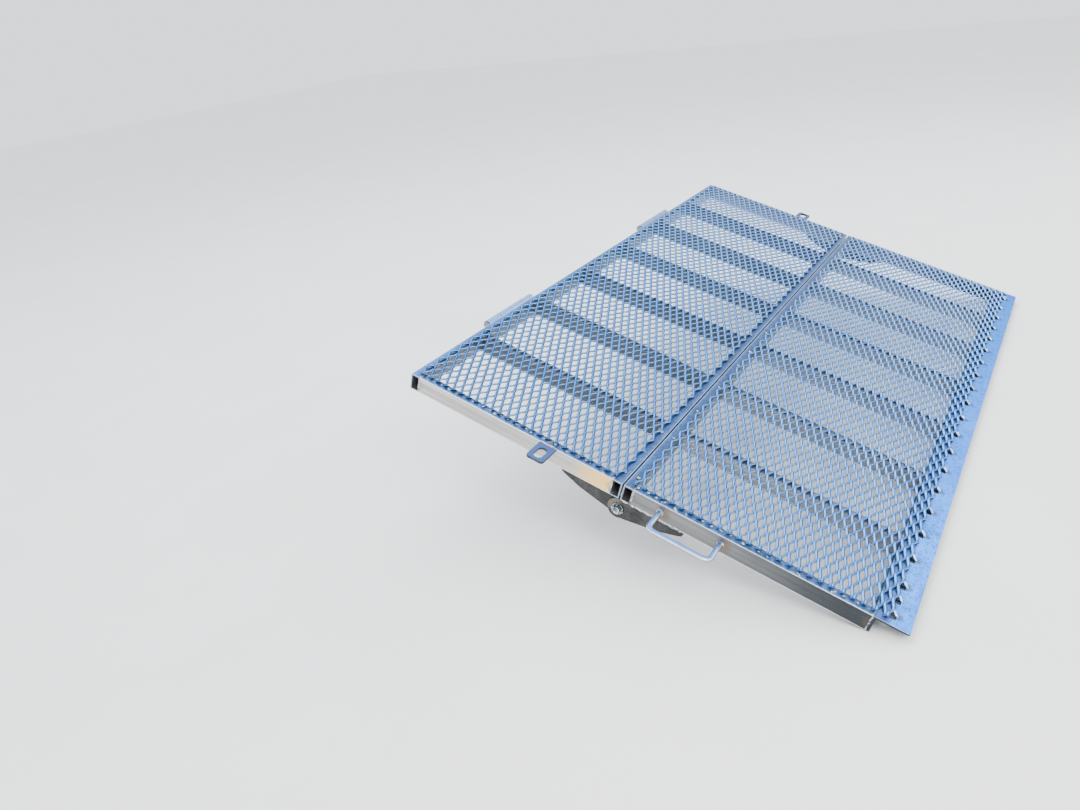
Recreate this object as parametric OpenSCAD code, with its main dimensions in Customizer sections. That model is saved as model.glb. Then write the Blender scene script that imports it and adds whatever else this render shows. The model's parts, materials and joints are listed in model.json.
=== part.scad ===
// Folding loading ramp of two panels that hangs on a trailer's rear sill and lies deployed to the ground.
// Millimetres, +Z up. Origin: on the gate hinge axis, at mid width. +X runs along the hinge axis,
// +Y points to the trailer, and the deployed ramp runs down towards -Y.
// Each ramp piece is drawn in the flat "ramp" frame (deck level, y = -distance from the hinge axis)
// and then tilted about the hinge axis by the deployed angle.

/* [Panels] */
// Width of both panels across the ramp
ramp_w = 2030; // [1600:10:2400]
// Length of the upper panel, over its two cross tubes
upper_l = 613; // [500:1:800]
// Length of the lower panel's side rails, from the fold face to the toe angle
lower_l = 582; // [500:1:800]
// Gap between the two fold tubes
fold_gap = 5; // [4:0.5:8]
// Angle of the deployed ramp below horizontal
deploy_angle = 19; // [10:1:25]

/* [Frame tubes] */
// Width of the frame tube seen from above
tube_w = 25.4; // [20:0.2:40]
// Depth of the frame tube
tube_h = 44.45; // [38:0.05:60]
// Wall of the frame tube
tube_wall = 3.2; // [2:0.1:5]
// Number of lengthwise stringers in each panel
stringer_count = 6; // [4:1:8]

/* [Toe angle] */
// Reach of the toe plate past the rail ends
toe_reach = 77; // [60:1:100]
// Thickness of the toe plate
toe_t = 5; // [4:0.5:8]
// Thickness of the angle's upright leg that closes the frame
toe_leg_t = 8; // [6:0.5:10]
// Side of the square weld windows in the toe plate
window_w = 14; // [8:0.5:15]

/* [Expanded metal deck] */
// Pitch of the diamonds across the ramp, the long way of the diamond
lwd = 50.8; // [40:0.1:60]
// Pitch of the diamonds along the ramp, the short way of the diamond
swd = 23.44; // [18:0.01:30]
// Width of one strand
strand_w = 4.4; // [2:0.1:5]
// Height of each of the two strand layers
strand_h = 2.4; // [1.5:0.1:3]
// Margin of bare rail top beside the mesh
mesh_side_margin = 14; // [8:1:20]
// Margin of bare tube top at the hinge edge
mesh_hinge_margin = 10; // [5:1:20]
// Margin of bare tube top at each side of the fold
mesh_fold_margin = 15; // [10:1:22]

/* [Gate hinges] */
// Position of the left hinge along the hinge axis
hinge_left_x = -540; // [-800:1:-200]
// Position of the right hinge along the hinge axis
hinge_right_x = 462; // [200:1:800]
// Outside diameter of the hinge barrels
barrel_d = 25.4; // [20:0.2:32]
// Diameter of the hinge pins
pin_d = 12.7; // [10:0.1:16]
// Length of one knuckle
knuckle_l = 57; // [40:1:80]
// Gap between neighbouring knuckles
knuckle_gap = 1.5; // [0.8:0.1:3]
// Reach of the sill knuckles' weld feet behind the hinge axis
foot_reach = 18; // [16:1:30]

/* [Fold pivots] */
// Drop of the fold pivots below the deck level
pivot_drop = 72; // [68:1:80]
// Shift of the fold pivots from the middle of the fold gap towards the toe
pivot_shift = 3; // [0:0.5:6]
// Radius of the round boss of each fold plate
boss_r = 27; // [18:0.5:27]
// Length of a fold plate from its pivot to its tip
plate_l = 163; // [120:1:200]
// Thickness of a fold plate
plate_t = 6.35; // [5:0.05:10]
// Diameter of the fold bolt's shank
bolt_d = 12.7; // [10:0.1:16]

/* [Latch lugs] */
// Distance of the lug centres from the hinge tube's face
lug_pos = 412; // [300:1:500]
// Width of a lug along the ramp
lug_w = 46; // [36:1:60]
// Reach of a lug past the side rail
lug_reach = 65; // [50:1:80]
// Width of the lug's slot
slot_w = 23; // [16:1:26]
// Length of the lug's slot
slot_l = 41; // [30:1:46]
// Distance of the slot's centre from the side rail's face
slot_out = 36; // [28:1:44]
// Thickness of a lug
lug_t = 6.35; // [4:0.05:8]

/* [Handle] */
// Distance of the handle's first leg from the fold face
handle_start = 97.5; // [60:0.5:200]
// Span of the handle, leg centre to leg centre
handle_span = 149; // [120:1:180]
// Reach of the handle's bar past the side rail
handle_reach = 68; // [50:1:90]
// Diameter of the handle's bar
handle_d = 12.7; // [10:0.1:16]
// Bend radius of the handle at the bar's centre line
handle_bend = 16; // [12:1:25]

/* [Hidden] */

$fn = 48;
mill = "lightsteelblue";
cut = "silver";
dark = "slategray";
zinc = "gainsboro";

// Clearances
running = 0.06;
part_gap = 0.4;
hinge_gap = 0.5;

// Levels and distances in the ramp frame: deck level is the top of every tube
barrel_r = barrel_d / 2;
deck_z = barrel_r;
frame_z = deck_z - tube_h;
hinge_y = -(barrel_r + hinge_gap);
fold_y = hinge_y - upper_l;
lower_y = fold_y - fold_gap;
rail_end_y = lower_y - lower_l;
half_w = ramp_w / 2;

// Stringer spacing
bay = ramp_w / (stringer_count + 1);

// Mesh: reach of the outermost bonds past the rail ends, and the first bond's distance from the edge
mesh_toe_reach = 33.5;
mesh_phase_x = 45.8 - half_w;
mesh_toe_y = rail_end_y - mesh_toe_reach;
// Spare length of each strand line, which the deck rectangle trims off
strand_spare = 400;

// Rounding of the toe plate's free corners
corner_r = 6;

// Weld windows sit between the outermost bonds, at every second diamond and at each end
window_count = 40;
window_x0 = mesh_phase_x - lwd / 2 + 5;
window_y = mesh_toe_y - 1;

// Fold pivot and the stack of plates along it, measured inwards from the side rail's face
pivot_y = (fold_y + lower_y) / 2 - pivot_shift;
pivot_z = deck_z - pivot_drop;
outer_plate_in = 0;
spacer_t = 1.6;
washer_t = 2.6;
head_h = 8;
washer_r = 15;
inner_plate_in = plate_t + part_gap + spacer_t;
bolt_tail = 4;
// Half the width of the hexagons across their corners
hex_r = bolt_d * 0.86;

// Fold plate outline, from the pivot: two knees, the rounding of the tip, start of the welded edge
knee_1 = [75, -12];
knee_2 = [108, -5];
tip_r = 5;
weld_from = 6;

// Hinge knuckle order: gate, sill, gate, sill from the left end
knuckle_pitch = knuckle_l + knuckle_gap;
foot_t = 8;

// Places everything of the deployed ramp
module on_ramp() {
    rotate([deploy_angle, 0, 0])
        children();
}

// Mirrors a left-side piece to the right side
module at_side(right) {
    mirror([right ? 1 : 0, 0, 0])
        children();
}

// Rectangular tube of length l along X, its top at deck level and its hinge-side face at y
module cross_tube(y) {
    translate([-half_w, y - tube_w, frame_z])
        difference() {
            cube([ramp_w, tube_w, tube_h]);
            translate([-1, tube_wall, tube_wall])
                cube([ramp_w + 2, tube_w - 2 * tube_wall, tube_h - 2 * tube_wall]);
        }
}

// Rectangular tube along the ramp, centred on x, from y_from down to y_to
module long_tube(x, y_from, y_to) {
    translate([x - tube_w / 2, y_to, frame_z])
        difference() {
            cube([tube_w, y_from - y_to, tube_h]);
            translate([tube_wall, -1, tube_wall])
                cube([tube_w - 2 * tube_wall, y_from - y_to + 2, tube_h - 2 * tube_wall]);
        }
}

module hinge_tube() {
    color(mill)
        on_ramp()
            cross_tube(hinge_y);
}

module upper_fold_tube() {
    color(mill)
        on_ramp()
            cross_tube(fold_y + tube_w);
}

module lower_fold_tube() {
    color(mill)
        on_ramp()
            cross_tube(lower_y);
}

module upper_rail(right) {
    color(cut)
        on_ramp()
            at_side(right)
                long_tube(-half_w + tube_w / 2, hinge_y - tube_w, fold_y + tube_w);
}

module lower_rail(right) {
    color(cut)
        on_ramp()
            at_side(right)
                long_tube(-half_w + tube_w / 2, lower_y - tube_w, rail_end_y);
}

module upper_stringer(i) {
    color(mill)
        on_ramp()
            long_tube(-half_w + i * bay, hinge_y - tube_w, fold_y + tube_w);
}

module lower_stringer(i) {
    color(mill)
        on_ramp()
            long_tube(-half_w + i * bay, lower_y - tube_w, rail_end_y);
}

// One family of parallel strands, clipped to the deck rectangle; dir is 1 or -1
module strand_family(dir, y_hi, y_lo, y_bond) {
    slope = atan2(swd, lwd);
    reach = ramp_w + strand_spare;
    steps = ceil((y_hi - y_lo + ramp_w * swd / lwd) / swd) + 2;
    intersection() {
        translate([-half_w + mesh_side_margin, y_lo])
            square([ramp_w - 2 * mesh_side_margin, y_hi - y_lo]);
        union() {
            for (i = [-steps:steps])
                translate([mesh_phase_x, y_bond + i * swd])
                    rotate(dir * slope)
                        translate([-reach, -strand_w / 2])
                            square([2 * reach, strand_w]);
        }
    }
}

// Expanded metal as two crossing layers of straight strands
module deck_mesh(y_hi, y_lo, y_bond) {
    translate([0, 0, deck_z])
        linear_extrude(strand_h)
            strand_family(1, y_hi, y_lo, y_bond);
    translate([0, 0, deck_z + strand_h])
        linear_extrude(strand_h)
            strand_family(-1, y_hi, y_lo, y_bond);
}

module upper_mesh() {
    color(mill)
        on_ramp()
            deck_mesh(hinge_y - mesh_hinge_margin, fold_y + mesh_fold_margin, fold_y + mesh_fold_margin);
}

module lower_mesh() {
    color(mill)
        on_ramp()
            deck_mesh(lower_y - mesh_fold_margin, mesh_toe_y, mesh_toe_y);
}

// Toe: an upright leg that closes the frame and a flat plate at deck level with weld windows
module toe_angle() {
    color(mill)
        on_ramp()
            difference() {
                translate([-half_w, rail_end_y, deck_z])
                    rotate([0, 90, 0])
                        linear_extrude(ramp_w)
                            polygon([
                                [0, 0],
                                [tube_h, 0],
                                [tube_h, -toe_leg_t],
                                [toe_t, -toe_leg_t],
                                [toe_t, -toe_reach],
                                [0, -toe_reach]
                            ]);
                for (right = [false, true])
                    at_side(right)
                        translate([-half_w, rail_end_y - toe_reach, deck_z - toe_t - 1])
                            difference() {
                                translate([-1, -1, 0])
                                    cube([corner_r + 1, corner_r + 1, toe_t + 2]);
                                translate([corner_r, corner_r, -1])
                                    cylinder(h = toe_t + 4, r = corner_r);
                            }
                for (k = [0:window_count - 1])
                    if (k % 2 == 0 || k == 1 || k == window_count - 1)
                        translate([window_x0 + k * lwd, window_y, deck_z - toe_t / 2])
                            cube([window_w, window_w, toe_t + 2], center = true);
            }
}

// Barrel of one knuckle, its left end at x
module knuckle(x) {
    translate([x, 0, 0])
        rotate([0, 90, 0])
            cylinder(h = knuckle_l, d = barrel_d);
}

// Left end of knuckle k (0 to 3) of a hinge centred on x
function knuckle_x(x, k) = x - 2 * knuckle_pitch + knuckle_gap / 2 + k * knuckle_pitch;

module gate_knuckles(x) {
    color(mill)
        on_ramp()
            for (k = [0, 2])
                difference() {
                    union() {
                        knuckle(knuckle_x(x, k));
                        translate([knuckle_x(x, k), hinge_y, -barrel_r])
                            cube([knuckle_l, -hinge_y, foot_t]);
                    }
                    translate([knuckle_x(x, k) - 1, 0, 0])
                        rotate([0, 90, 0])
                            cylinder(h = knuckle_l + 2, r = pin_d / 2 + running);
                }
}

module sill_knuckles(x) {
    color(mill)
        for (k = [1, 3])
            difference() {
                union() {
                    knuckle(knuckle_x(x, k));
                    translate([knuckle_x(x, k), 0, -barrel_r])
                        cube([knuckle_l, foot_reach, foot_t]);
                }
                translate([knuckle_x(x, k) - 1, 0, 0])
                    rotate([0, 90, 0])
                        cylinder(h = knuckle_l + 2, d = pin_d);
            }
}

// Pin with a low head at its left end, fixed in the sill knuckles
module hinge_pin(x) {
    head_t = 3;
    head_r = pin_d / 2 + 3;
    tail = 4;
    left_end = knuckle_x(x, 0);
    color(zinc)
        translate([left_end, 0, 0])
            rotate([0, 90, 0]) {
                translate([0, 0, -head_t - part_gap])
                    cylinder(h = head_t, r = head_r);
                translate([0, 0, -part_gap])
                    cylinder(h = 4 * knuckle_pitch - knuckle_gap + part_gap + tail, d = pin_d);
            }
}

// Outline of a fold plate: pivot at the origin, the plate runs towards +X, its welded edge on top
module fold_plate_outline() {
    edge_y = pivot_drop - tube_h;
    difference() {
        union() {
            circle(r = boss_r);
            polygon([
                [0, 0],
                [4, -boss_r * 0.97],
                [knee_1[0], knee_1[1]],
                [knee_2[0], knee_2[1]],
                [plate_l - 1.7 * tip_r, edge_y - 3.2 * tip_r],
                [plate_l - 0.5 * tip_r, edge_y - 2.6 * tip_r],
                [plate_l, edge_y - 1.5 * tip_r],
                [plate_l - 0.4 * tip_r, edge_y],
                [weld_from, edge_y]
            ]);
        }
        circle(r = bolt_d / 2 + running);
    }
}

// Fold plate on the left side; dir is 1 for the lower panel's plate and -1 for the upper panel's
module fold_plate(dir, inset) {
    translate([-half_w + inset, pivot_y, pivot_z])
        rotate([90, 0, -90])
            mirror([0, 0, 1])
                linear_extrude(plate_t)
                    mirror([dir > 0 ? 0 : 1, 0])
                        fold_plate_outline();
}

module lower_fold_plate(right) {
    color(dark)
        on_ramp()
            at_side(right)
                fold_plate(1, outer_plate_in);
}

module upper_fold_plate(right) {
    color(dark)
        on_ramp()
            at_side(right)
                fold_plate(-1, inner_plate_in);
}

// Puts children on the left fold pivot, local +Z pointing inwards along the bolt
module at_pivot() {
    translate([-half_w, pivot_y, pivot_z])
        rotate([0, 90, 0])
            children();
}

module fold_bolts() {
    shank_end = inner_plate_in + plate_t + washer_t + head_h + 2 + bolt_tail;
    color(zinc)
        on_ramp()
            for (right = [false, true])
                at_side(right)
                    at_pivot()
                        union() {
                            translate([0, 0, -part_gap - washer_t - head_h])
                                cylinder(h = head_h, r = hex_r, $fn = 6);
                            translate([0, 0, -part_gap - washer_t])
                                cylinder(h = shank_end + part_gap + washer_t, d = bolt_d);
                        }
}

// Washer with a close bore, its lower face at z
module washer(z, t, r) {
    translate([0, 0, z])
        difference() {
            cylinder(h = t, r = r);
            translate([0, 0, -1])
                cylinder(h = t + 2, r = bolt_d / 2 + 0.2);
        }
}

module fold_washers() {
    color(zinc)
        on_ramp()
            for (right = [false, true])
                at_side(right)
                    at_pivot() {
                        washer(-part_gap - washer_t, washer_t, washer_r);
                        washer(plate_t + part_gap, spacer_t, washer_r);
                        washer(inner_plate_in + plate_t, washer_t, washer_r);
                    }
}

module fold_nuts() {
    color(zinc)
        on_ramp()
            for (right = [false, true])
                at_side(right)
                    at_pivot()
                        translate([0, 0, inner_plate_in + plate_t + washer_t])
                            difference() {
                                cylinder(h = head_h + 2, r = hex_r, $fn = 6);
                                translate([0, 0, -1])
                                    cylinder(h = head_h + 4, d = bolt_d);
                            }
}

// Flat lug with a long slot, butted to the side rail's top edge
module latch_lug(right) {
    corner = 8;
    outline_x = -half_w - lug_reach;
    color(dark)
        on_ramp()
            at_side(right)
                translate([0, hinge_y - lug_pos, deck_z - lug_t])
                    linear_extrude(lug_t)
                        difference() {
                            union() {
                                translate([outline_x + corner, -lug_w / 2])
                                    square([lug_reach - corner, lug_w]);
                                translate([outline_x, -lug_w / 2 + corner])
                                    square([corner, lug_w - 2 * corner]);
                                for (s = [-1, 1])
                                    translate([outline_x + corner, s * (lug_w / 2 - corner)])
                                        circle(r = corner);
                            }
                            round_slot(-half_w - slot_out - slot_l / 2);
                        }
}

// Slot with round ends, starting at x and running along +X
module round_slot(x) {
    translate([x + slot_w / 2, -slot_w / 2])
        square([slot_l - slot_w, slot_w]);
    for (e = [slot_w / 2, slot_l - slot_w / 2])
        translate([x + e, 0])
            circle(d = slot_w);
}

// Bent round bar: two legs out from the left rail, joined by a grip bar
module handle() {
    grip_z = deck_z - tube_h / 2;
    leg = handle_reach - handle_bend;
    color(mill)
        on_ramp()
            translate([-half_w, lower_y - handle_start, grip_z]) {
                for (leg_y = [0, -handle_span])
                    translate([0, leg_y, 0])
                        rotate([0, -90, 0])
                            cylinder(h = leg, d = handle_d);
                translate([-leg, -handle_bend, 0])
                    rotate([0, 0, 90])
                        rotate_extrude(angle = 90)
                            translate([handle_bend, 0])
                                circle(d = handle_d);
                translate([-leg, -handle_span + handle_bend, 0])
                    rotate([0, 0, 180])
                        rotate_extrude(angle = 90)
                            translate([handle_bend, 0])
                                circle(d = handle_d);
                translate([-handle_reach, -handle_bend, 0])
                    rotate([90, 0, 0])
                        cylinder(h = handle_span - 2 * handle_bend, d = handle_d);
            }
}

hinge_tube();
upper_fold_tube();
upper_rail(false);  // upper_rail_left
upper_rail(true);  // upper_rail_right
for (i = [1:stringer_count])
    upper_stringer(i);
upper_mesh();
gate_knuckles(hinge_left_x);  // gate_knuckles_left
gate_knuckles(hinge_right_x);  // gate_knuckles_right
latch_lug(false);  // latch_lug_left
latch_lug(true);  // latch_lug_right
upper_fold_plate(false);  // upper_fold_plate_left
upper_fold_plate(true);  // upper_fold_plate_right
fold_bolts();
fold_washers();
fold_nuts();
lower_fold_tube();
lower_rail(false);  // lower_rail_left
lower_rail(true);  // lower_rail_right
for (i = [1:stringer_count])
    lower_stringer(i);
toe_angle();
lower_mesh();
lower_fold_plate(false);  // lower_fold_plate_left
lower_fold_plate(true);  // lower_fold_plate_right
handle();
sill_knuckles(hinge_left_x);  // sill_knuckles_left
sill_knuckles(hinge_right_x);  // sill_knuckles_right
hinge_pin(hinge_left_x);  // hinge_pin_left
hinge_pin(hinge_right_x);  // hinge_pin_right
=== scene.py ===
import json
import math
import random

import bmesh
import bpy
from mathutils import Matrix, Vector


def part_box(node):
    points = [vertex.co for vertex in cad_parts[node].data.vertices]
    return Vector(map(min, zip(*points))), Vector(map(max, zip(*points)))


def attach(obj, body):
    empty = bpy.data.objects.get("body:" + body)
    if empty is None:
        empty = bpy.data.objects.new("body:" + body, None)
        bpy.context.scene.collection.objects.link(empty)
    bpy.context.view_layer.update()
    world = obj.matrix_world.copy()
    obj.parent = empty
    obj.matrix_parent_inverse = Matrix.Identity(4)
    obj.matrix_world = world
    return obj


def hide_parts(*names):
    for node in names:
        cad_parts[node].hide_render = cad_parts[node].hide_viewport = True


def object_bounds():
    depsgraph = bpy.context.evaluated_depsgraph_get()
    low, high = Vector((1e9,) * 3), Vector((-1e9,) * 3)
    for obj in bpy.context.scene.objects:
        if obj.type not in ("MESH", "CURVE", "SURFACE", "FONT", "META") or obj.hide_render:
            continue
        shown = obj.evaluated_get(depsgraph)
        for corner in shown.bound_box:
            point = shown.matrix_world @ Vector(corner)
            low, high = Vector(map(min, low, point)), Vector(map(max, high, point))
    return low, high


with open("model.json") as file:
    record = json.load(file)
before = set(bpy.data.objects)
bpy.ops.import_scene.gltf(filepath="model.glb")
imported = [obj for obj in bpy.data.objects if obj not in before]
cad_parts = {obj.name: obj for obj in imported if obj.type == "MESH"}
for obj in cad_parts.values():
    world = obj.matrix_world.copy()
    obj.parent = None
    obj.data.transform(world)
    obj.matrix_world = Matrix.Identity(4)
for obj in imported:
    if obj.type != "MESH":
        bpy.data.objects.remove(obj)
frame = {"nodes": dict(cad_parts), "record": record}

CAD_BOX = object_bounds()
NODES = frame["nodes"]
random.seed(7)

# Sizes are in metres. The ramp is drawn flat, with X across it, Y up the slope and Z out of the deck,
# and then tilted about the gate hinge's axis, which is the X axis of the frame.
slot_axis = next(m["axis"] for m in frame["record"]["mounts"] if m["name"] == "latch_slot_left")
SLOPE = math.atan2(-slot_axis[1], slot_axis[2])
TILT = Matrix.Rotation(SLOPE, 4, "X")
FLAT = TILT.inverted()


def flat_box(node):
    """Lowest and highest corner of a CAD node in the flat ramp frame."""
    o = NODES[node]
    points = [FLAT @ (o.matrix_world @ v.co) for v in o.data.vertices]
    lowest = Vector([min(p[i] for p in points) for i in range(3)])
    highest = Vector([max(p[i] for p in points) for i in range(3)])
    return lowest, highest


# The frame, taken from the CAD nodes: half its width, its top, its underside and a cross tube's width
HINGE = flat_box("hinge_tube")
U_FOLD = flat_box("upper_fold_tube")
L_FOLD = flat_box("lower_fold_tube")
RAIL = flat_box("upper_rail_left")
L_RAIL = flat_box("lower_rail_left")
TOE = flat_box("toe_angle")
HALF = HINGE[1].x
DECK = HINGE[1].z
UNDER = HINGE[0].z
TUBE = HINGE[1].y - HINGE[0].y
RAIL_END = L_RAIL[0].y
SIDES = ((-1, "left"), (1, "right"))

# Expanded metal: the long and the short way of a diamond, and the first bond's distance from the left face
LWD, SWD = 0.0508, 0.02344
HALF_CELL = LWD / 2
FIRST_BOND = 0.0458
PHASE = FIRST_BOND - HALF

# How far each deck mesh stays back from its frame's edges, and how far the lower one reaches past the rails
SIDE_MARGIN = 0.014
FOLD_MARGIN = 0.015
HINGE_MARGIN = 0.010
TOE_REACH = 0.0335
SIDE = HALF - SIDE_MARGIN
U_LOW, U_HIGH = U_FOLD[0].y + FOLD_MARGIN, HINGE[1].y - HINGE_MARGIN
L_LOW, L_HIGH = RAIL_END - TOE_REACH, L_FOLD[1].y - FOLD_MARGIN

# A cut strand's end, measured from the middle of its pair of outermost bonds on top of the frame: where it
# leaves the bond, and its welded tip
STUB_ROOT = Vector((0.0235, 0.0035, 0.0044))
STUB_TIP = Vector((0.0125, -0.0105, 0.0002))


# ---------------------------------------------------------------- materials
# The view transform washes colours out, so they are deeper here than they look
# Painted sky reflection, laid on faces that look up
SKY = (0.055, 0.165, 0.44)
GREY = (0.20, 0.205, 0.21)
HEAT_TINT = (0.15, 0.09, 0.05)
# Painted highlight along the edges of tubes
EDGE_HIGHLIGHT = (0.95, 0.97, 1.0)
SCUFF = (0.52, 0.58, 0.66)
MESH_SHADE = (0.036, 0.056, 0.105)
SOOT = (0.022, 0.032, 0.055)


def scaled(colour, factor):
    """A colour made lighter or darker, up to white."""
    return tuple(min(1.0, c * factor) for c in colour)


class Shader:
    """A Principled material built from small node calls."""

    def __init__(self, name, metallic, tilted=True, glance=(1.0, 1.0, 1.0)):
        self.mat = bpy.data.materials.new(name)
        self.mat.use_nodes = True
        self.tree = self.mat.node_tree
        self.bsdf = self.tree.nodes["Principled BSDF"]
        self.bsdf.inputs["Metallic"].default_value = metallic
        self.bsdf.inputs["Specular Tint"].default_value = (*glance, 1)
        coords = self.tree.nodes.new("ShaderNodeTexCoord")
        self.normal = coords.outputs["Normal"]
        self.uv = coords.outputs["UV"]
        place = self.tree.nodes.new("ShaderNodeMapping")
        place.inputs["Rotation"].default_value = (-SLOPE if tilted else 0.0, 0, 0)
        self.tree.links.new(coords.outputs["Object"], place.inputs["Vector"])
        self.at = place.outputs["Vector"]

    def put(self, socket, value):
        if isinstance(value, bpy.types.NodeSocket):
            self.tree.links.new(value, socket)
        else:
            socket.default_value = value

    # Places
    def stretch(self, scale, turn=0.0):
        """The ramp frame's place, scaled apart along the axes and turned about Z."""
        n = self.tree.nodes.new("ShaderNodeMapping")
        n.inputs["Scale"].default_value = scale
        n.inputs["Rotation"].default_value = (0, 0, turn)
        self.put(n.inputs["Vector"], self.at)
        return n.outputs["Vector"]

    def grain(self, along, scale_across, scale_along):
        """The place scaled one way along an axis and another way across it, for lines or rings."""
        scale = [scale_across] * 3
        scale[along] = scale_along
        return self.stretch(scale)

    def axes(self, vector):
        n = self.tree.nodes.new("ShaderNodeSeparateXYZ")
        self.put(n.inputs[0], vector)
        return n.outputs[0], n.outputs[1], n.outputs[2]

    # Patterns
    def noise(self, scale, detail=3.0, rough=0.55, vector=None, warp=0.0):
        n = self.tree.nodes.new("ShaderNodeTexNoise")
        n.inputs["Scale"].default_value = scale
        n.inputs["Detail"].default_value = detail
        n.inputs["Roughness"].default_value = rough
        n.inputs["Distortion"].default_value = warp
        self.put(n.inputs["Vector"], vector or self.at)
        return n.outputs["Fac"]

    def cells(self, scale):
        n = self.tree.nodes.new("ShaderNodeTexVoronoi")
        n.inputs["Scale"].default_value = scale
        self.put(n.inputs["Vector"], self.at)
        return n.outputs["Distance"]

    # Arithmetic
    def ramp(self, value, lo, hi, out_lo=0.0, out_hi=1.0):
        n = self.tree.nodes.new("ShaderNodeMapRange")
        n.interpolation_type = "SMOOTHSTEP"
        inputs = {"Value": value, "From Min": lo, "From Max": hi, "To Min": out_lo, "To Max": out_hi}
        for key, v in inputs.items():
            self.put(n.inputs[key], v)
        return n.outputs["Result"]

    def math(self, op, a, b=0.0):
        n = self.tree.nodes.new("ShaderNodeMath")
        n.operation = op
        self.put(n.inputs[0], a)
        self.put(n.inputs[1], b)
        return n.outputs[0]

    def plus(self, a, b):
        return self.math("ADD", a, b)

    def minus(self, a, b):
        return self.math("SUBTRACT", a, b)

    def times(self, a, b):
        return self.math("MULTIPLY", a, b)

    def least(self, a, b):
        return self.math("MINIMUM", a, b)

    def most(self, a, b):
        return self.math("MAXIMUM", a, b)

    def size(self, a):
        return self.math("ABSOLUTE", a)

    # Colours
    def mix(self, fac, a, b):
        n = self.tree.nodes.new("ShaderNodeMix")
        n.data_type = "RGBA"
        self.put(n.inputs["Factor"], fac)
        self.put(n.inputs["A"], a if isinstance(a, bpy.types.NodeSocket) else (*a, 1))
        self.put(n.inputs["B"], b if isinstance(b, bpy.types.NodeSocket) else (*b, 1))
        return n.outputs["Result"]

    def lay(self, colour, mask, amount, paint):
        """Lays a paint over a colour where a mask is 1, covering it by an amount."""
        return self.mix(self.times(mask, amount), colour, paint)

    # Masks
    def near(self, point, inner, outer):
        """1 close to a point of the ramp frame, fading to 0 with a ragged border."""
        n = self.tree.nodes.new("ShaderNodeVectorMath")
        n.operation = "DISTANCE"
        self.put(n.inputs[0], self.at)
        n.inputs[1].default_value = point
        ragged = self.plus(n.outputs["Value"], self.times(self.noise(160.0), outer * 0.5))
        return self.ramp(ragged, inner + outer * 0.25, outer * 1.25, 1.0, 0.0)

    def top(self):
        """1 on faces that look up from the deck."""
        return self.ramp(self.axes(self.normal)[2], 0.72, 0.93)

    def covered(self, x, y):
        """1 where a deck mesh lies above, with a ragged border."""
        side_lap, end_lap, blur, rag = 0.009, 0.008, 0.003, 0.016
        ragged = self.times(self.minus(self.noise(85.0, 3.0, 0.6), 0.5), rag)
        beside = self.minus(SIDE + side_lap, self.size(x))
        spans = []
        for y_lo, y_hi in ((U_LOW - end_lap, U_HIGH), (L_LOW, L_HIGH + end_lap)):
            spans.append(self.least(self.minus(y, y_lo), self.minus(y_hi, y)))
        inward = self.least(beside, self.most(*spans))
        return self.ramp(self.plus(inward, ragged), -blur, blur)

    def edges(self, box, width=0.0016):
        """Two masks for a box of the ramp frame: 1 along its edges, and 1 behind its outer faces."""
        skin_lo, skin_hi = 0.0012, 0.0024
        gaps = []
        for value, low, high in zip(self.axes(self.at), *box):
            gaps.append(self.least(self.size(self.minus(value, low)), self.size(self.minus(value, high))))
        x, y, z = gaps
        inside = self.ramp(self.least(self.least(x, y), z), skin_lo, skin_hi)
        close = self.least(self.least(self.most(x, y), self.most(y, z)), self.most(x, z))
        highlight = self.plus(close, self.times(self.noise(90.0), width * 0.7))
        return self.ramp(highlight, width * 0.6, width * 1.5, 1.0, 0.0), inside

    def bump(self, height, strength, distance, under=None):
        n = self.tree.nodes.new("ShaderNodeBump")
        n.inputs["Strength"].default_value = strength
        n.inputs["Distance"].default_value = distance
        self.put(n.inputs["Height"], height)
        if under:
            self.put(n.inputs["Normal"], under)
        return n.outputs["Normal"]

    def finish(self, colour, rough, normal=None):
        self.put(self.bsdf.inputs["Base Color"], colour)
        self.put(self.bsdf.inputs["Roughness"], rough)
        if normal:
            self.put(self.bsdf.inputs["Normal"], normal)
        return self.mat


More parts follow.
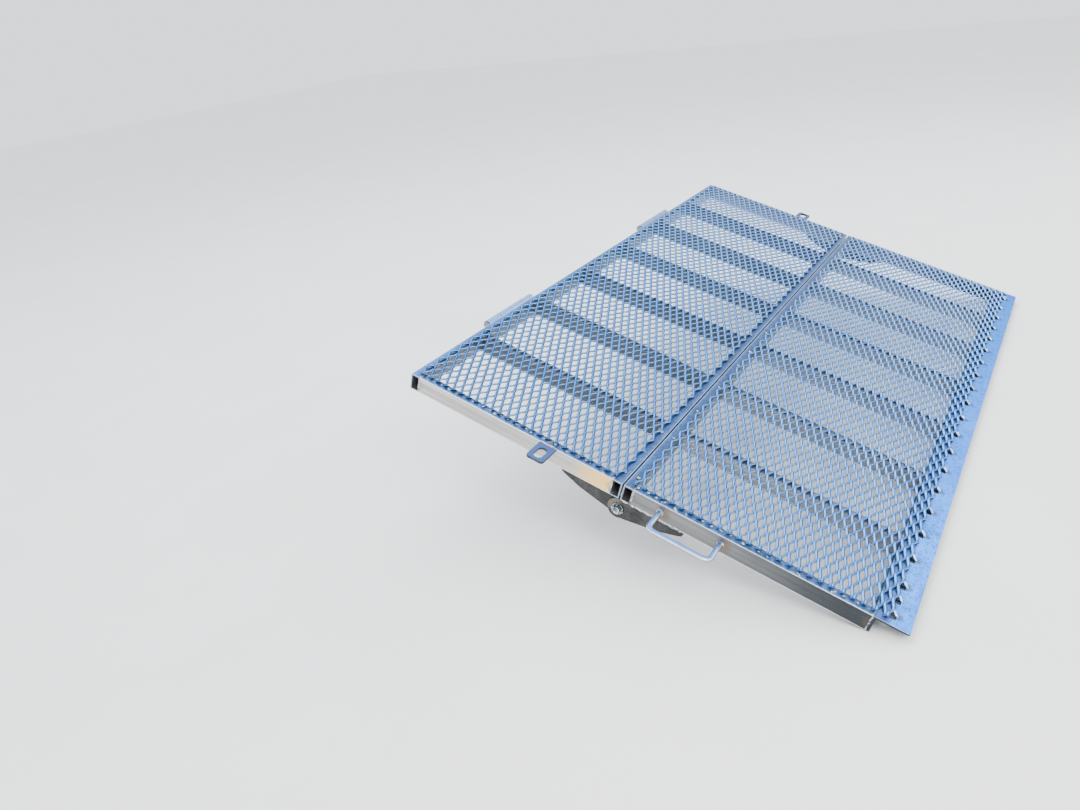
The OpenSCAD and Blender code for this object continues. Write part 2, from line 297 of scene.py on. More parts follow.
def tube_material(name, along, box, grey=GREY, sky=SKY, edge=EDGE_HIGHLIGHT,
                  grime=0.0, heat=(), warm=None, shade=None):
    """Extruded mill finish: die lines along one axis, blotches, scuffs and heat tint at welds. Painted light
    and shade: a sky reflection on upward faces, highlights along the edges, shade under the mesh and inside
    the hollow, and where asked a pool of warm light or shade along the tube.
    """
    s = Shader(name, 0.75)
    lines = s.noise(1.0, 4.0, 0.6, s.grain(along, 380.0, 2.0))
    bands = s.noise(1.0, 2.0, 0.5, s.grain(along, 150.0, 0.8))
    cloud = s.noise(11.0, 5.0, 0.6, warp=0.4)
    scuffs = s.ramp(s.noise(1.0, 3.0, 0.7, s.stretch((60.0, 260.0, 260.0), 0.5)), 0.66, 0.74)
    soot = s.ramp(s.noise(95.0, 5.0, 0.75, warp=0.9), 0.47, 0.55)
    highlight, inside = s.edges(box)
    top = s.top()
    x, y, _ = s.axes(s.at)
    side = s.mix(s.ramp(bands, 0.3, 0.7), scaled(grey, 0.80), scaled(grey, 1.18))
    side = s.lay(side, s.ramp(lines, 0.48, 0.60), 0.70, scaled(grey, 0.55))
    if warm:
        point, inner, outer, glow = warm
        side = s.lay(side, s.near(point, inner, outer), 0.85, glow)
    if shade:
        start, end, deep = shade
        side = s.mix(s.ramp(s.plus(y, s.times(cloud, 0.12)), start, end, 0.92, 0.0), side, deep)
    # Painted sky reflection on faces that look up
    upward = s.mix(s.ramp(cloud, 0.3, 0.7), sky, scaled(sky, 1.55))
    colour = s.mix(top, side, upward)
    colour = s.lay(colour, s.times(s.covered(x, y), top), 0.5, MESH_SHADE)
    colour = s.lay(colour, s.times(soot, grime), top, SOOT)
    colour = s.lay(colour, scuffs, 0.35, SCUFF)
    # Painted highlight along the edges
    colour = s.lay(colour, highlight, 0.85, edge)
    for point, inner, outer in heat:
        colour = s.lay(colour, s.near(point, inner, outer), 0.62, HEAT_TINT)
    # Painted shade inside the hollow: plain grey in place of the painted sky reflection and highlights
    colour = s.mix(inside, colour, scaled(grey, 0.9))
    rough = s.ramp(s.plus(cloud, s.times(lines, 0.3)), 0.3, 1.0, 0.26, 0.50)
    return s.finish(colour, rough, s.bump(cloud, 0.12, 0.0006, s.bump(lines, 0.35, 0.0002)))


def plate_material(name, base, light, speck, sky=SKY, rubbed=None):
    """Cut plate: mottled oxide, dark specks, short rolling scratches and, where asked, a tan rubbed spot."""
    s = Shader(name, 0.7)
    cloud = s.noise(26.0, 6.0, 0.68, warp=0.8)
    fine = s.noise(240.0, 4.0, 0.7)
    pits = s.ramp(s.cells(190.0), 0.05, 0.16, 1.0, 0.0)
    roll = s.noise(1.0, 3.0, 0.6, s.stretch((30.0, 520.0, 520.0), 0.12))
    colour = s.mix(s.ramp(cloud, 0.32, 0.68), base, light)
    colour = s.lay(colour, s.ramp(fine, 0.52, 0.7), speck, scaled(base, 0.6))
    colour = s.lay(colour, s.ramp(roll, 0.58, 0.66), 0.35, scaled(light, 1.35))
    colour = s.lay(colour, pits, speck * 0.7, scaled(base, 0.45))
    # Painted sky reflection on the top faces
    colour = s.lay(colour, s.top(), 0.85, sky)
    if rubbed:
        colour = s.lay(colour, s.near(rubbed, 0.017, 0.0225), 0.8, (0.17, 0.145, 0.115))
    rough = s.ramp(fine, 0.3, 0.7, 0.36, 0.58)
    return s.finish(colour, rough, s.bump(fine, 0.3, 0.0003, s.bump(cloud, 0.2, 0.0008)))


def window_heat(s, x, y):
    """1 round each window of the toe plate. The windows repeat at every second diamond."""
    along = s.minus(x, PHASE - HALF_CELL + STUB_TIP.x - LWD)
    wave = s.minus(s.math("FLOORED_MODULO", along, 2 * LWD), LWD)
    beyond = s.minus(y, L_LOW + STUB_TIP.y)
    away = s.math("SQRT", s.plus(s.times(wave, wave), s.times(beyond, beyond)))
    return s.ramp(s.plus(away, s.times(s.noise(140.0, 4.0), 0.012)), 0.011, 0.021, 1.0, 0.0)


def toe_material(name):
    """Toe angle: upper face painted light blue as a sky reflection, smudged and speckled by handling, with
    heat tint round each window, painted shade on its sides and where the mesh lies on it, and a painted
    highlight along its edges.
    """
    s = Shader(name, 0.8, glance=(0.30, 0.62, 1.0))
    x, y, _ = s.axes(s.at)
    cloud = s.noise(9.0, 6.0, 0.66, warp=0.6)
    fine = s.noise(330.0, 3.0, 0.6)
    drag = s.noise(1.0, 4.0, 0.7, s.stretch((14.0, 170.0, 60.0), 0.05))
    smudge = s.noise(38.0, 5.0, 0.7, warp=1.2)
    specks = s.ramp(s.noise(130.0, 5.0, 0.85, warp=0.5), 0.53, 0.60)
    # Painted sky reflection: the light blue of the upper face
    upward = s.mix(s.ramp(cloud, 0.3, 0.72), (0.040, 0.215, 0.80), (0.068, 0.315, 1.0))
    upward = s.lay(upward, s.ramp(drag, 0.5, 0.72), 0.5, (0.12, 0.40, 1.0))
    upward = s.lay(upward, s.ramp(smudge, 0.56, 0.74), 0.45, (0.045, 0.12, 0.32))
    upward = s.lay(upward, specks, 0.75, (0.022, 0.070, 0.24))
    # Painted shade where the mesh lies on the plate
    under_mesh = s.ramp(s.plus(y, s.times(smudge, 0.010)), L_LOW, L_LOW + 0.010, 0.0, 0.75)
    upward = s.mix(under_mesh, upward, (0.075, 0.105, 0.19))
    # Painted shade on the side faces
    side = s.mix(s.ramp(cloud, 0.3, 0.7), (0.022, 0.028, 0.034), (0.05, 0.055, 0.062))
    colour = s.mix(s.top(), side, upward)
    colour = s.lay(colour, window_heat(s, x, y), 0.75, (0.075, 0.070, 0.075))
    # Painted highlight along the plate's edges
    colour = s.lay(colour, s.edges(TOE, 0.0008)[0], 0.45, (0.60, 0.74, 0.92))
    rough = s.ramp(smudge, 0.3, 0.75, 0.30, 0.52)
    return s.finish(colour, rough, s.bump(fine, 0.2, 0.0002, s.bump(drag, 0.2, 0.0004)))


def strand_material(name):
    """Raised expanded metal: smooth rolled faces painted blue as a sky reflection, with painted highlights in
    spots and painted shade on the sheared edges, along each face's edges and inside the diamonds.
    """
    s = Shader(name, 0.7, glance=(0.34, 0.62, 1.0))
    fine = s.noise(420.0, 3.0, 0.6)
    cloud = s.noise(7.0, 4.0, 0.6)
    patch = s.noise(45.0, 3.0, 0.6)
    x, y, _ = s.axes(s.at)
    nx, _, nz = s.axes(s.normal)
    across = s.axes(s.uv)[0]
    # Painted sky reflection: the blue of the strands
    colour = s.mix(s.ramp(cloud, 0.3, 0.7), (0.12, 0.39, 0.96), (0.20, 0.52, 1.0))
    # The two diagonals of a diamond twist opposite ways: one family catches more light than the other
    twist = s.ramp(s.times(nx, s.ramp(nz, 0.5, 0.7, -1.0, 1.0)), -0.06, 0.06)
    colour = s.lay(colour, twist, 0.75, (0.27, 0.58, 1.0))
    # Painted highlights in spots: pale patches
    colour = s.mix(s.ramp(patch, 0.45, 0.75, 0.0, 0.35), colour, (0.42, 0.64, 0.94))
    # The near toe corner reflects a deeper part of the sky, the far side a paler one
    corner = s.times(s.ramp(y, L_LOW + 0.04, L_LOW + 0.20, 0.3, 0.0), s.ramp(x, -0.3, 0.5, 1.0, 0.0))
    colour = s.mix(corner, colour, (0.085, 0.27, 0.86))
    colour = s.mix(s.ramp(x, -0.1, HALF, 0.0, 0.4), colour, (0.46, 0.60, 0.94))
    # Painted shade on the sheared faces, along their lower edge on one family and all over on the other
    shear_shade = s.ramp(s.plus(across, s.times(fine, 0.2)), 0.35, 0.60, 0.85, 0.0)
    shear_shade = s.most(shear_shade, s.ramp(twist, 0.0, 1.0, 0.92, 0.0))
    colour = s.lay(colour, s.ramp(nz, 0.30, 0.70, 1.0, 0.0), shear_shade, (0.012, 0.036, 0.095))
    # Painted shade on faces that look down
    colour = s.mix(s.ramp(nz, -0.3, 0.1, 0.8, 0.0), colour, (0.012, 0.028, 0.06))
    colour = s.lay(colour, s.ramp(fine, 0.58, 0.72), 0.3, (0.06, 0.10, 0.22))
    # Painted shade along both edges of each face
    off_middle = s.size(s.minus(across, 0.5))
    rim = s.ramp(s.plus(off_middle, s.times(fine, 0.08)), 0.29, 0.41)
    colour = s.lay(colour, rim, 0.9, (0.020, 0.05, 0.13))
    rough = s.ramp(fine, 0.3, 0.7, 0.28, 0.46)
    return s.finish(colour, rough, s.bump(fine, 0.25, 0.0002))


def weld_material(name, tint, bright, dull):
    """Bead metal: bright crests with brown and soot-grey heat tint in patches."""
    s = Shader(name, 0.95)
    patch = s.noise(75.0, 4.0, 0.6, warp=0.5)
    fine = s.noise(500.0, 3.0, 0.7)
    colour = s.mix(s.ramp(patch, 0.42, 0.62), bright, dull)
    colour = s.lay(colour, s.ramp(patch, 0.5, 0.72), tint, (0.16, 0.09, 0.05))
    colour = s.lay(colour, s.ramp(fine, 0.55, 0.7), 0.5, (0.06, 0.06, 0.06))
    return s.finish(colour, s.ramp(fine, 0.3, 0.7, 0.16, 0.36), s.bump(fine, 0.4, 0.0003))


def round_bar_material(name, grey, sky, along=0, tilted=True, span=(0.1, 0.85), under=0.0):
    """Drawn round bar: fine lines along it, a painted sky reflection on top and, where asked, painted shade
    on its underside.
    """
    s = Shader(name, 0.8, tilted)
    lines = s.noise(1.0, 3.0, 0.6, s.grain(along, 900.0, 12.0))
    cloud = s.noise(30.0, 5.0, 0.6)
    nz = s.axes(s.normal)[2]
    colour = s.mix(s.ramp(cloud, 0.3, 0.7), grey, scaled(grey, 1.2))
    # Painted sky reflection on top
    colour = s.mix(s.ramp(nz, *span), colour, sky)
    # Painted shade on the underside, where asked
    colour = s.mix(s.ramp(nz, 0.0, 0.34, under, 0.0), colour, (0.12, 0.12, 0.12))
    colour = s.lay(colour, s.ramp(lines, 0.5, 0.66), 0.35, scaled(grey, 0.6))
    return s.finish(colour, s.ramp(cloud, 0.3, 0.7, 0.24, 0.40), s.bump(lines, 0.25, 0.0002))


def zinc_material(name):
    """Bright zinc plate: bluish with yellow patches, sharp light and dark glints and fine turned rings."""
    s = Shader(name, 0.95)
    patch = s.noise(60.0, 4.0, 0.6)
    glints = s.noise(330.0, 3.0, 0.7, warp=0.6)
    rings = s.noise(1.0, 2.0, 0.6, s.grain(0, 30.0, 900.0))
    colour = s.mix(s.ramp(patch, 0.4, 0.65), (0.24, 0.27, 0.31), (0.20, 0.19, 0.13))
    colour = s.mix(s.ramp(glints, 0.49, 0.54, 0.0, 0.92), colour, (0.012, 0.016, 0.020))
    colour = s.mix(s.ramp(glints, 0.40, 0.46, 0.95, 0.0), colour, (0.72, 0.88, 0.94))
    colour = s.lay(colour, s.ramp(rings, 0.55, 0.7), 0.4, (0.05, 0.055, 0.06))
    return s.finish(colour, s.ramp(patch, 0.3, 0.7, 0.16, 0.34), s.bump(rings, 0.2, 0.0002))


# ---------------------------------------------------------------- geometry helpers
# A full turn, and the range that a bead's starting angle is drawn from
FULL_TURN = 6.2832
START_ANGLES = (0, 6.28)


def circle(count, offset=0.0):
    """Angles of points evenly round a circle."""
    return [FULL_TURN * (k + offset) / count for k in range(count)]


def across_uv(bm):
    """Each strand face runs from 0 to 1 across its width. End caps stay at the middle."""
    layer = bm.loops.layers.uv.new("across")
    for face in bm.faces:
        places = (0.0, 1.0, 1.0, 0.0) if len(face.loops) == 4 else [0.5] * len(face.loops)
        for loop, u in zip(face.loops, places):
            loop[layer].uv = (u, 0.5)


def piece(name, bm, body, material, smooth=False, tilted=True):
    """Turns a bmesh into an object that rides a body of the frame."""
    mesh = bpy.data.meshes.new(name)
    bmesh.ops.recalc_face_normals(bm, faces=bm.faces)
    if tilted:
        bmesh.ops.transform(bm, matrix=TILT, verts=bm.verts)
    bm.to_mesh(mesh)
    bm.free()
    if smooth:
        mesh.polygons.foreach_set("use_smooth", [True] * len(mesh.polygons))
    o = bpy.data.objects.new(name, mesh)
    bpy.context.scene.collection.objects.link(o)
    mesh.materials.append(material)
    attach(o, body)
    return o


def tube_along(bm, rings):
    """Joins rings of points into a closed skin."""
    rows = [[bm.verts.new(p) for p in ring] for ring in rings]
    count = len(rows[0])
    for a, b in zip(rows, rows[1:]):
        for i in range(count):
            after = (i + 1) % count
            bm.faces.new((a[i], a[after], b[after], b[i]))
    bm.faces.new(rows[0][::-1])
    bm.faces.new(rows[-1])


# ---------------------------------------------------------------- expanded metal decks
STRAND_W, STRAND_T = 0.0063, 0.0042
LEAN = math.radians(40)
# Half the length of a bond, and how far the sheet settles into the frame's top
BOND_HALF = 0.0040
SETTLE = 0.0008
# Where a strand bends, from a bond's middle
BENDS = (0.0, 0.0034, 0.0056, 0.0198, 0.0220)


def zig(x, row):
    """Where a strand row is in its zigzag at x: -1 at its lower bond, 1 at its upper bond."""
    d = (x - PHASE - (row % 2) * HALF_CELL) % LWD
    d = min(d, LWD - d)
    rise = (d - BOND_HALF) / (HALF_CELL - 2 * BOND_HALF)
    rise = min(1.0, max(0.0, rise))
    return -1.0 + 2.0 * (0.75 * rise + 0.25 * rise * rise * (3 - 2 * rise))


def stations():
    """Places along X where the zigzag bends, from one side of the deck to the other."""
    least_step = 0.0008
    found = {-SIDE, SIDE}
    k = math.floor((-SIDE - PHASE) / HALF_CELL) - 1
    while PHASE + k * HALF_CELL < SIDE:
        for bend in BENDS:
            x = PHASE + k * HALF_CELL + bend
            if -SIDE + least_step < x < SIDE - least_step:
                found.add(x)
        k += 1
    return sorted(found)


def cut_above(bm, y):
    """Cuts a closed skin off at y and closes the cut."""
    everything = bm.verts[:] + bm.edges[:] + bm.faces[:]
    bmesh.ops.bisect_plane(bm, geom=everything, plane_co=(0, y, 0), plane_no=(0, 1, 0), clear_outer=True)
    bmesh.ops.holes_fill(bm, edges=[e for e in bm.edges if e.is_boundary])


def strand_row(bm, row, y_mid, xs, cut_y=None):
    """One zigzag strand of the sheet. Its section leans, so that the sheet is rough on top."""
    wy, wz = math.cos(LEAN) * STRAND_W / 2, -math.sin(LEAN) * STRAND_W / 2
    ty, tz = math.sin(LEAN) * STRAND_T / 2, math.cos(LEAN) * STRAND_T / 2
    z_mid = DECK + 2 * abs(wz) + tz - SETTLE
    swing = SWD / 4 - wy
    rings = []
    for x in xs:
        place = zig(x, row)
        y, z = y_mid + place * swing, z_mid + place * abs(wz)
        rings.append([
            (x, y + wy + ty, z + wz + tz),
            (x, y + wy - ty, z + wz - tz),
            (x, y - wy - ty, z - wz - tz),
            (x, y - wy + ty, z - wz + tz),
        ])
    if cut_y is None:
        tube_along(bm, rings)
        return
    whole = bmesh.new()
    tube_along(whole, rings)
    cut_above(whole, cut_y)
    part = bpy.data.meshes.new("part")
    whole.to_mesh(part)
    whole.free()
    bm.from_mesh(part)
    bpy.data.meshes.remove(part)


def deck(name, y_low, y_high, body, node, material):
    """Expanded sheet: strand rows half a diamond apart, bonded to each other at every crossing."""
    least_row, cut_gap = 0.003, 0.002
    bm = bmesh.new()
    xs = stations()
    row = 0
    y_mid = y_low + SWD / 4
    while y_mid - SWD / 4 <= y_high - least_row:
        too_high = y_mid + SWD / 4 + cut_gap > y_high
        strand_row(bm, row, y_mid, xs, y_high if too_high else None)
        row += 1
        y_mid = y_low + SWD / 4 + row * SWD / 2
    across_uv(bm)
    o = piece(name, bm, body, material)
    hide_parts(node)


STRANDS = strand_material("strand_metal")
deck("upper_deck", U_LOW, U_HIGH, "upper_panel", "upper_mesh", STRANDS)
deck("lower_deck", L_LOW, L_HIGH, "lower_panel", "lower_mesh", STRANDS)


# ---------------------------------------------------------------- materials on the CAD nodes
def handle_legs():
    """Radius of the handle's bar, and where its two legs meet the rail."""
    lo, hi = flat_box("handle")
    radius = (hi.z - lo.z) / 2
    return radius, [Vector((-HALF, y, (lo.z + hi.z) / 2)) for y in (lo.y + radius, hi.y - radius)]


def rail_material(node):
    """Side rail: heat tint at welds, warm light by the fold on one, shade toward the toe on the lower two."""
    box = flat_box(node)
    heat = []
    for end in box:
        weld = (box[0] + box[1]) / 2
        weld.y = end.y
        heat.append((weld, 0.004, 0.024))
    look = {}
    if node == "upper_rail_left":
        lug_lo, lug_hi = flat_box("latch_lug_left")
        heat.append((Vector((-HALF, (lug_lo.y + lug_hi.y) / 2, lug_lo.z)), 0.006, 0.022))
        sunlit = Vector((-HALF, box[0].y + 0.030, (DECK + UNDER) / 2))
        # Painted light on this rail: a lighter grey all over and a pool of warm light by the fold
        look = {"grey": (0.52, 0.52, 0.49), "warm": (sunlit, 0.015, 0.085, (1.0, 0.64, 0.20))}
    elif node == "lower_rail_left":
        for leg in handle_legs()[1]:
            heat.append((leg - Vector((0, 0.008, 0)), 0.007, 0.026))
    if node.startswith("lower"):
        look["shade"] = (RAIL_END + 0.10, RAIL_END + 0.50, (0.021, 0.027, 0.033))
    return tube_material("mill_" + node, 1, box, grime=0.65, heat=heat, **look)


def stringer_material(node):
    """Stringer: dull; painted shade and light make it darker under the upper deck than under the lower one.
    """
    wall = (0.085, 0.090, 0.096) if node.startswith("upper") else (0.33, 0.33, 0.33)
    return tube_material("mill_" + node, 1, flat_box(node), wall, (0.19, 0.20, 0.24), (0.20, 0.25, 0.35))


def fold_plate_material(node):
    """Fold plate: dark plate. The lower ones are rubbed beside the bolt head."""
    lo, hi = flat_box(node)
    bolt_lo, bolt_hi = flat_box("fold_bolts")
    rubbed = None
    if node.startswith("lower"):
        x = lo.x if lo.x < 0 else hi.x
        rubbed = Vector((x, (bolt_lo.y + bolt_hi.y) / 2 + 0.013, (bolt_lo.z + bolt_hi.z) / 2 + 0.009))
    return plate_material("plate_" + node, (0.026, 0.027, 0.028), (0.065, 0.066, 0.062), 0.6, rubbed=rubbed)


def node_material(node):
    """The material of a CAD node, by what the node is."""
    if node in ("hinge_tube", "upper_fold_tube", "lower_fold_tube"):
        sky, edge = (0.040, 0.125, 0.36), (0.45, 0.62, 0.88)
        return tube_material("mill_" + node, 0, flat_box(node), sky=sky, edge=edge, grime=0.45)
    if "rail" in node:
        return rail_material(node)
    if "stringer" in node:
        return stringer_material(node)
    if node == "toe_angle":
        return toe_material("toe_metal")
    if "fold_plate" in node:
        return fold_plate_material(node)
    if "lug" in node:
        # Painted light and shade: dark sides in painted shade, a painted sky reflection on top
        base, light, sky = (0.018, 0.024, 0.040), (0.045, 0.060, 0.095), (0.036, 0.092, 0.27)
        return plate_material("plate_" + node, base, light, 0.3, sky)
    if "knuckles" in node:
        grey, sky = (0.17, 0.19, 0.22), (0.20, 0.38, 0.76)
        return round_bar_material("bar_" + node, grey, sky, tilted="gate" in node)
    if "pin" in node:
        return round_bar_material("pin_" + node, (0.22, 0.22, 0.23), (0.34, 0.40, 0.52), tilted=False)
    if node == "handle":
        grey, sky = (0.80, 0.84, 0.86), (0.075, 0.24, 0.70)
        return round_bar_material("bar_handle", grey, sky, along=1, span=(0.60, 0.78), under=0.8)
    return zinc_material("zinc_" + node)


for node, o in NODES.items():
    if node in ("upper_mesh", "lower_mesh"):
        continue
    material = node_material(node)
    if not o.material_slots:
        o.data.materials.append(material)
    for material_slot in o.material_slots:
        material_slot.material = material


# ---------------------------------------------------------------- welds
def bead(bm, start, end, radius, normal, pitch=0.0042, sink=0.35, sides=8, wander=0.0004):
    """A weld bead from start to end with overlapping ripples, lying on a surface with that normal."""
    ripple, swell, flatness, lag = 0.16, 0.10, 0.85, 0.07
    swell_waves, wander_waves, level = 190, 310, 0.001
    start, end, normal = Vector(start), Vector(end), Vector(normal).normalized()
    length = (end - start).length
    along = (end - start).normalized()
    across = normal.cross(along).normalized()
    shift = random.uniform(*START_ANGLES)
    steps = max(4, int(length / pitch) * 4)
    rings = []
    for i in range(steps + 1):
        d = i / steps * length
        # Both ends are rounded off
        taper = min(1.0, (min(d, length - d) + 0.0006) / (radius * 0.9))
        r = radius * (1.0 + ripple * math.cos(FULL_TURN * d / pitch + shift))
        r *= math.sqrt(max(taper, 0.12))
        r *= 1 + swell * math.sin(d * swell_waves + shift)
        sway = wander * math.sin(d * wander_waves + shift * 2)
        centre = start + along * d - normal * radius * sink + across * sway
        ring = []
        for a in circle(sides):
            # Above the bead's middle, a ripple's sides trail behind its crown
            back = lag * r * (1 - math.sin(a)) if math.sin(a) > level else 0.0
            up = normal * r * flatness * math.sin(a)
            ring.append(centre + across * r * math.cos(a) + up - along * back)
        rings.append(ring)
    tube_along(bm, rings)


# A tack weld's rings, as shares of its size: height above the surface, and radius
BLOB_RINGS = ((-0.25, 0.9), (0.10, 1.0), (0.36, 0.78), (0.52, 0.40), (0.57, 0.10))
BLOB_SIDES = 10


def blob(bm, at, size, normal, seed):
    """A tack weld: a low lumpy mound."""
    normal = Vector(normal).normalized()
    side = normal.orthogonal().normalized()
    across = normal.cross(side)
    rng = random.Random(seed)
    wobble = [rng.uniform(0.82, 1.18) for _ in range(BLOB_SIDES)]
    rings = []
    for lift, reach in BLOB_RINGS:
        ring = []
        for a, lump in zip(circle(BLOB_SIDES), wobble):
            r = size * reach * lump
            round_about = side * r * math.cos(a) + across * r * math.sin(a)
            ring.append(Vector(at) + round_about + normal * size * lift)
        rings.append(ring)
    tube_along(bm, rings)


# A weld stub's rings: place from root to tip, half width and half height
STUB_RINGS = (
    (0.0, 0.0030, 0.0016),
    (0.3, 0.0036, 0.0021),
    (0.6, 0.0052, 0.0030),
    (0.85, 0.0050, 0.0022),
    (1.08, 0.0014, 0.0006),
)


def stub(bm, x, y, turn):
    """A cut strand's end, drawn down from its bond and welded to the toe plate at its tip."""
    root = Vector((x + turn * STUB_ROOT.x, y + STUB_ROOT.y, DECK + STUB_ROOT.z))
    tip = Vector((x + turn * STUB_TIP.x, y + STUB_TIP.y, DECK + STUB_TIP.z))
    along = (tip - root).normalized()
    across = Vector((0, 0, 1)).cross(along).normalized()
    sides = 8
    rings = []
    for t, wide, tall in STUB_RINGS:
        centre = root.lerp(tip, t)
        ring = []
        for a in circle(sides, 0.5):
            crease = 1.0 if math.sin(a) < 0 else 0.75 + 0.25 * math.sin(a)
            ring.append(centre + across * wide * math.cos(a) * crease + Vector((0, 0, tall * math.sin(a))))
        rings.append(ring)
    tube_along(bm, rings)


def rail_welds(sign, upper, lower):
    """Rails butted to the cross tubes: a bead down the outer face and one across the top of each joint."""
    face = sign * HALF
    inner = sign * (HALF - TUBE)
    face_inset, top_inset = 0.002, sign * 0.001
    for target, y in ((upper, RAIL[1].y), (upper, RAIL[0].y), (lower, L_RAIL[1].y), (lower, L_RAIL[0].y)):
        radius = 0.0020 if y == L_RAIL[0].y else 0.0028
        bead(target, (face, y, DECK - face_inset), (face, y, UNDER + face_inset), radius, (sign, 0, 0))
        bead(target, (face - top_inset, y, DECK), (inner + top_inset, y, DECK), 0.0022, (0, 0, 1))


def fold_plate_welds(sign, side, upper, lower):
    """Fold plates: a long bead under the rail on each plate's outer face, clear of the other panel."""
    look = {"radius": 0.0026, "pitch": 0.0052, "wander": 0.0008}
    end_gap, lower_clear, upper_clear = 0.006, 0.026, 0.034
    lo, hi = flat_box("lower_fold_plate_" + side)
    x = lo.x if sign < 0 else hi.x
    bead(lower, (x, hi.y - lower_clear, UNDER), (x, lo.y + end_gap, UNDER), normal=(sign, 0, 0.25), **look)
    lo, hi = flat_box("upper_fold_plate_" + side)
    x = lo.x if sign < 0 else hi.x
    bead(upper, (x, lo.y + upper_clear, UNDER), (x, hi.y - end_gap, UNDER), normal=(sign, 0, -0.6), **look)


def lug_welds(sign, side, upper):
    """Latch lugs: beads above and below the lug where it meets the rail."""
    lo, hi = flat_box("latch_lug_" + side)
    face, inset = sign * HALF, 0.002
    for z, up in ((hi.z, 1), (lo.z, -1)):
        bead(upper, (face, lo.y + inset, z), (face, hi.y - inset, z), 0.0026, (sign, 0, up), 0.0045)


def stringer_welds(panel, target, rail):
    """Stringers: short beads on top of each joint with a cross tube or the toe angle."""
    for i in range(1, 7):
        lo, hi = flat_box("%s_stringer_%d" % (panel, i))
        for y in (rail[1].y, rail[0].y):
            bead(target, (lo.x + 0.001, y, DECK), (hi.x - 0.001, y, DECK), 0.0021, (0, 0, 1), 0.004)


def handle_welds(lower):
    """Handle legs: a ring of short beads round each leg on the rail's face."""
    bar, legs = handle_legs()
    radius, proud, count, overlap = bar + 0.0012, 0.0006, 10, 0.12
    for leg in legs:
        for k in range(count):
            ends = []
            for a in (FULL_TURN * k / count, FULL_TURN * (k + 1 + overlap) / count):
                ends.append((leg.x - proud, leg.y + radius * math.cos(a), leg.z + radius * math.sin(a)))
            bead(lower, *ends, radius=0.0026, normal=(-1, 0, 0), pitch=0.004, sink=0.2, sides=6)


# How far the middles of tack welds lie above the frame's top
TACK_LIFT = 0.0006


def side_tacks(target, y_lo, y_hi, seed):
    """Tack welds and short beads along both sides of a mesh. Returns the last seed used."""
    z = DECK + TACK_LIFT
    for sign, _ in SIDES:
        y = y_lo + 0.02
        while y < y_hi - 0.01:
            seed += 1
            rng = random.Random(seed)
            x = sign * (SIDE + rng.uniform(-0.002, 0.004))
            if rng.random() < 0.5:
                blob(target, (x, y, z), rng.uniform(0.0026, 0.0056), (-0.2 * sign, 0, 1), seed)
            else:
                end = (x + rng.uniform(-0.010, 0.010), y + rng.uniform(-0.012, 0.012), z)
                bead(target, (x, y, z), end, rng.uniform(0.0018, 0.0032), (0, 0, 1), 0.0036)
            y += rng.uniform(0.5, 1.7) * SWD
    return seed


def end_tacks(target, y, seed):
    """Tack welds along one end of a mesh, every two to four diamonds. Returns the last seed used."""
    x = -SIDE + 0.03
    while x < SIDE - 0.02:
        seed += 1
        rng = random.Random(seed)
        blob(target, (x, y, DECK + TACK_LIFT), rng.uniform(0.0040, 0.0060), (0, 0, 1), seed)
        x += rng.choice((2, 3, 3, 4)) * LWD
    return seed


def toe_welds(stubs, lower):
    """A weld stub into each window of the toe plate, and a tack weld at the bonds between them."""
    bonds, first_seed = 40, 600
    windows = [k for k in range(bonds) if k % 2 == 0 or k in (1, bonds - 1)]
    for k in windows:
        x = PHASE - HALF_CELL + k * LWD
        turn = -1 if x + HALF_CELL > SIDE else 1
        stub(stubs, x, L_LOW, turn)
    for k in range(bonds):
        x = PHASE + k * LWD
        if abs(x) < SIDE and k not in windows:
            blob(lower, (x, L_LOW + 0.001, DECK + 0.0004), 0.0042, (0, 0, 1), first_seed + k)


def hinge_welds(side, upper, sill):
    """Gate hinges: beads along both end barrels, two on the ramp's tube and one on the sill's weld feet."""
    barrel, inset, pitch = 0.057, 0.002, 0.0046
    low_z, top_z, sill_y = -0.0047, DECK - 0.004, 0.0118
    y = HINGE[1].y
    lo, hi = flat_box("gate_knuckles_" + side)
    for x in (lo.x, hi.x - barrel):
        for z, radius, normal in ((low_z, 0.0030, (0, 1, 0.6)), (top_z, 0.0032, (0, 0.5, 1))):
            bead(upper, (x + inset, y, z), (x + barrel - inset, y, z), radius, normal, pitch)
    lo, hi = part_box("sill_knuckles_" + side)
    for x in (lo[0], hi[0] - barrel):
        start, end = (x + inset, sill_y, low_z), (x + barrel - inset, sill_y, low_z)
        bead(sill, start, end, 0.0034, (0, 0.6, 1), pitch)


upper, lower, sill, stubs = bmesh.new(), bmesh.new(), bmesh.new(), bmesh.new()
for sign, side in SIDES:
    rail_welds(sign, upper, lower)
    fold_plate_welds(sign, side, upper, lower)
    lug_welds(sign, side, upper)
stringer_welds("upper", upper, RAIL)
stringer_welds("lower", lower, L_RAIL)
handle_welds(lower)
last_seed = side_tacks(upper, U_LOW, U_HIGH, 0)
last_seed = end_tacks(upper, U_HIGH, last_seed)
last_seed = end_tacks(upper, U_LOW, last_seed)
last_seed = side_tacks(lower, L_LOW + 0.05, L_HIGH, last_seed)
end_tacks(lower, L_HIGH, last_seed)
toe_welds(stubs, lower)
for _, side in SIDES:
    hinge_welds(side, upper, sill)

WELD = weld_material("weld_metal", 0.45, (0.52, 0.56, 0.60), (0.13, 0.13, 0.13))
# The stubs' bluish bright is a painted sky reflection
STUB_METAL = weld_material("stub_metal", 0.1, (0.42, 0.64, 0.80), (0.14, 0.24, 0.36))
piece("upper_welds", upper, "upper_panel", WELD, smooth=True)
piece("lower_welds", lower, "lower_panel", WELD, smooth=True)
piece("toe_stubs", stubs, "lower_panel", STUB_METAL)
piece("sill_welds", sill, "trailer_side", WELD, smooth=True, tilted=False)

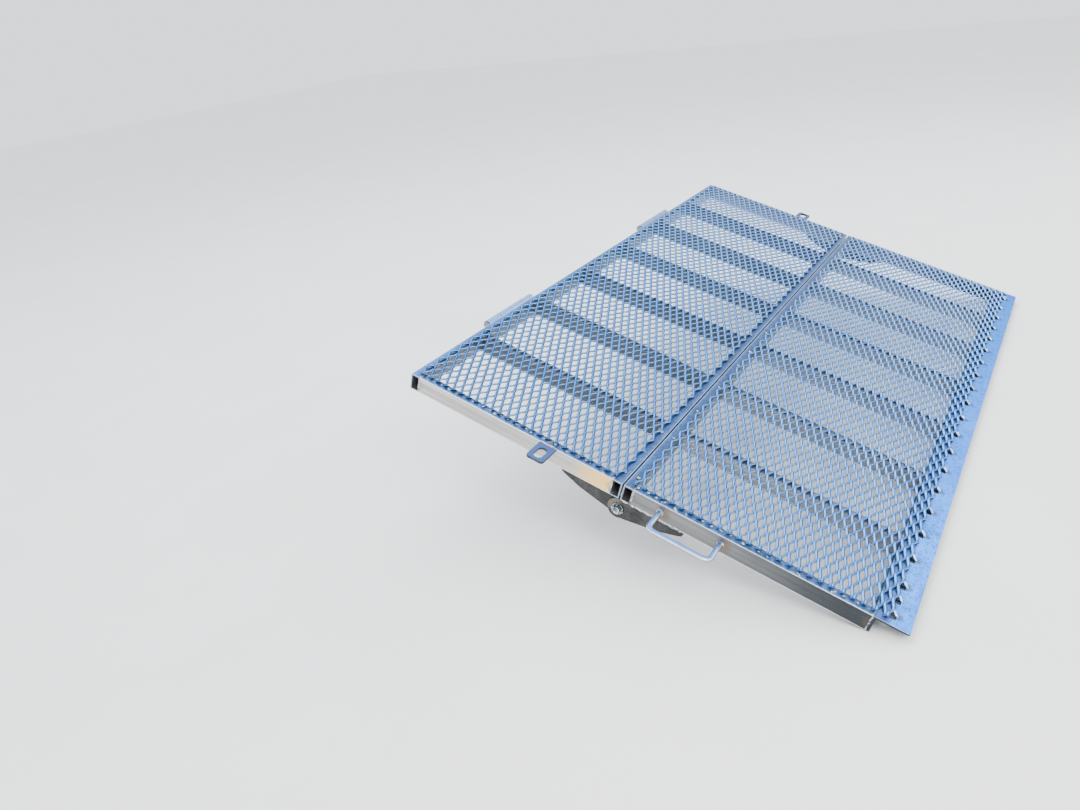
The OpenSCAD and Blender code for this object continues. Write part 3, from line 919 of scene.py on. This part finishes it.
# ---------------------------------------------------------------- floor, light and camera
FLOOR_REACH, FLOOR_GAP = 14, 0.0005
floor_z = CAD_BOX[0][2] - FLOOR_GAP
corners = [(x * FLOOR_REACH, y * FLOOR_REACH, floor_z) for x, y in ((-1, -1), (1, -1), (1, 1), (-1, 1))]
floor_mesh = bpy.data.meshes.new("floor")
floor_mesh.from_pydata(corners, [], [(0, 1, 2, 3)])
floor = bpy.data.objects.new("floor", floor_mesh)
bpy.context.scene.collection.objects.link(floor)
ground = Shader("floor_paint", 0.0, tilted=False)
pale = ground.mix(ground.ramp(ground.noise(3.0), 0.3, 0.7), (0.90, 0.90, 0.90), (0.93, 0.93, 0.93))
floor_mesh.materials.append(ground.finish(pale, 0.9))

world = bpy.data.worlds.new("studio")
bpy.context.scene.world = world
world.use_nodes = True
background = world.node_tree.nodes["Background"]
background.inputs["Color"].default_value = (0.93, 0.96, 1.0, 1)
background.inputs["Strength"].default_value = 1.75


def soft_light(name, at, size, power, colour):
    """A rectangular light that is turned to the middle of the ramp."""
    middle = Vector((0, -0.65, -0.2))
    data = bpy.data.lights.new(name, "AREA")
    data.shape = "RECTANGLE"
    data.size, data.size_y = size
    data.energy = power
    data.color = colour
    o = bpy.data.objects.new(name, data)
    o.location = at
    o.rotation_euler = (middle - Vector(at)).to_track_quat("-Z", "Y").to_euler()
    bpy.context.scene.collection.objects.link(o)


soft_light("key", (-3.2, -3.4, 3.6), (2.6, 2.6), 230, (1.0, 0.98, 0.95))
soft_light("sky", (0.8, 0.8, 4.4), (5.0, 4.0), 240, (0.90, 0.95, 1.0))
soft_light("fill", (3.4, -3.6, 2.0), (2.5, 2.0), 80, (1.0, 1.0, 1.0))

# The camera stands where the photograph was taken from
camera_data = bpy.data.cameras.new("camera")
camera_data.sensor_width = 36.0
camera_data.lens = 27.927
camera = bpy.data.objects.new("camera", camera_data)
camera.location = (-2.44257, -1.39912, 0.82478)
camera.rotation_euler = [math.radians(a) for a in (63.92999, 6.74763, -58.23786)]
bpy.context.scene.collection.objects.link(camera)
bpy.context.scene.camera = camera
